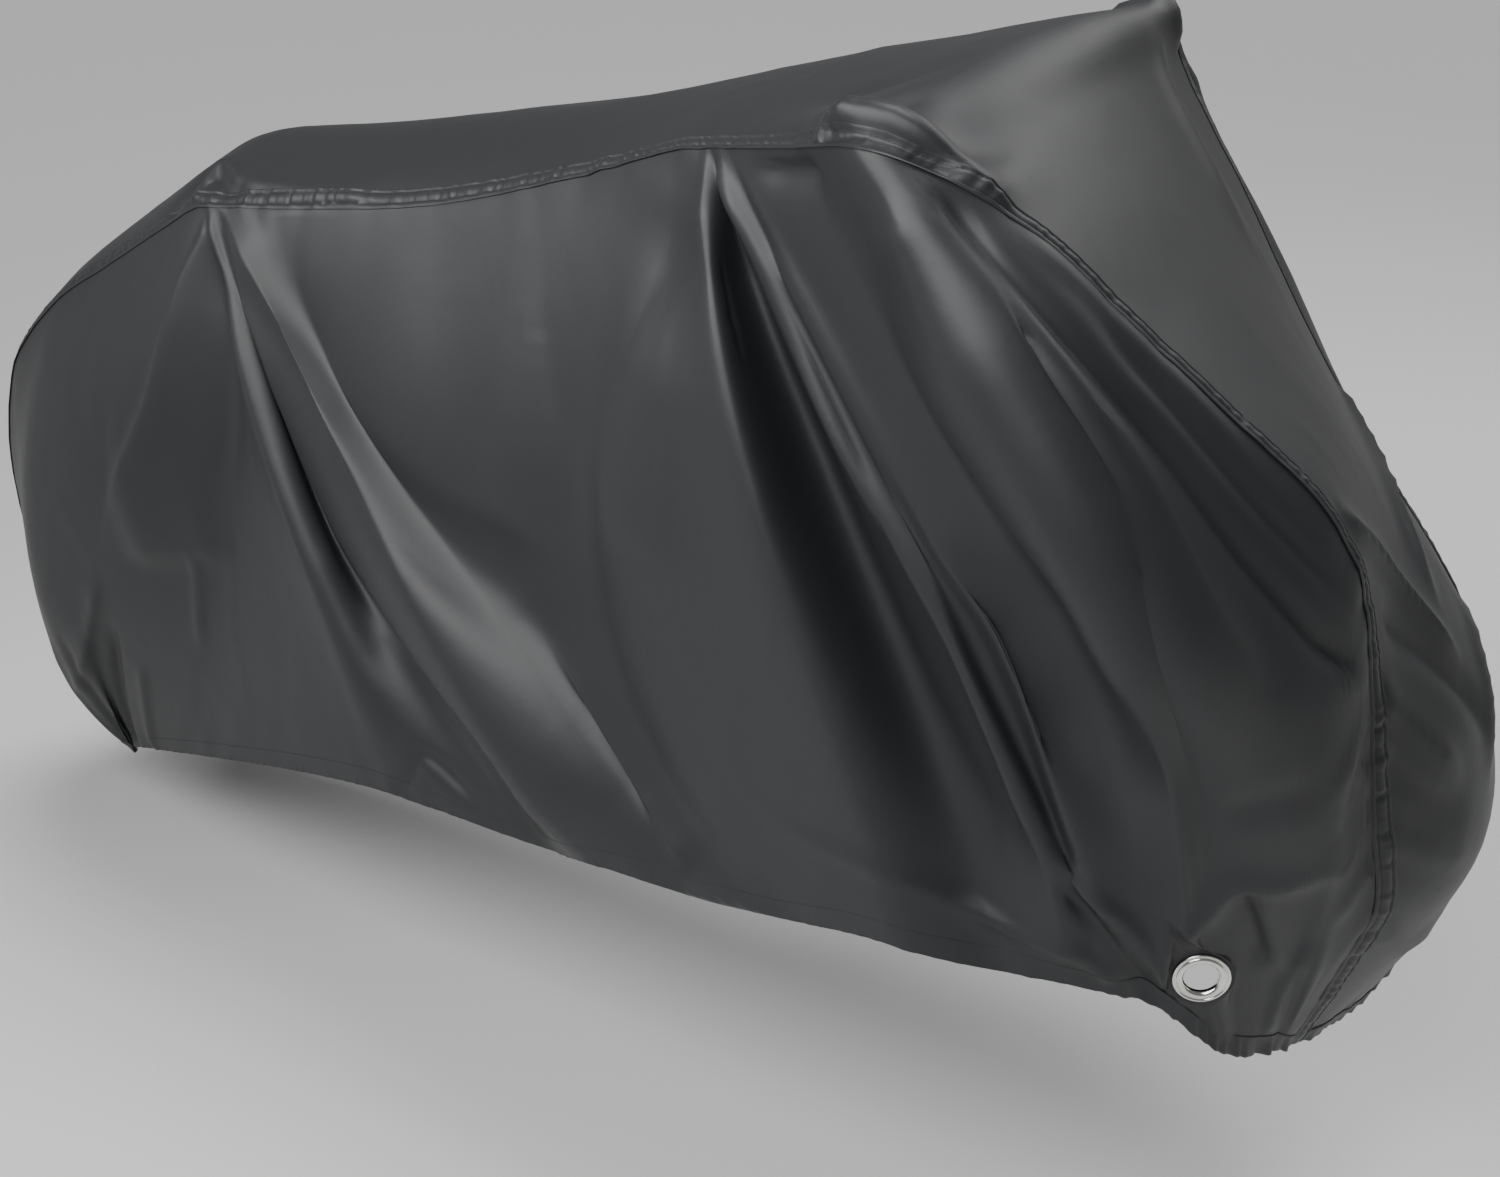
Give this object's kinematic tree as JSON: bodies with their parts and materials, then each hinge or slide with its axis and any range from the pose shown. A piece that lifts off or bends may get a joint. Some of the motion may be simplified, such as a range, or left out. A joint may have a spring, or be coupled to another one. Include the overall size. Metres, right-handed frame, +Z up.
{
  "type": "motorcycle cover",
  "caption": "Fitted protective cover of coated cloth, hollow and open below, hanging in folds from saddle and grips, with an eyelet on each side of its front hem",
  "frame": {"origin": "just under the cloth at the saddle, on the middle plane, where the cover is carried", "axes": "+X points forward along the vehicle, +Y to its left, +Z up; the ground is 1.225 m below the origin"},
  "size_m": [2.3099, 0.828, 1.2653],
  "materials": {
    "coated_cloth": "fine plain-woven polyester, dyed near black, with a soft sheen from its waterproof coating",
    "plated_metal": "pressed and nickel-plated, polished"
  },
  "bodies": {
    "root": {"middle_panel": "coated_cloth", "right_panel": "coated_cloth", "left_panel": "coated_cloth", "right_eyelet_strip": "coated_cloth", "left_eyelet_strip": "coated_cloth", "right_eyelet_ring": "plated_metal", "left_eyelet_ring": "plated_metal"}
  },
  "joints": []
}
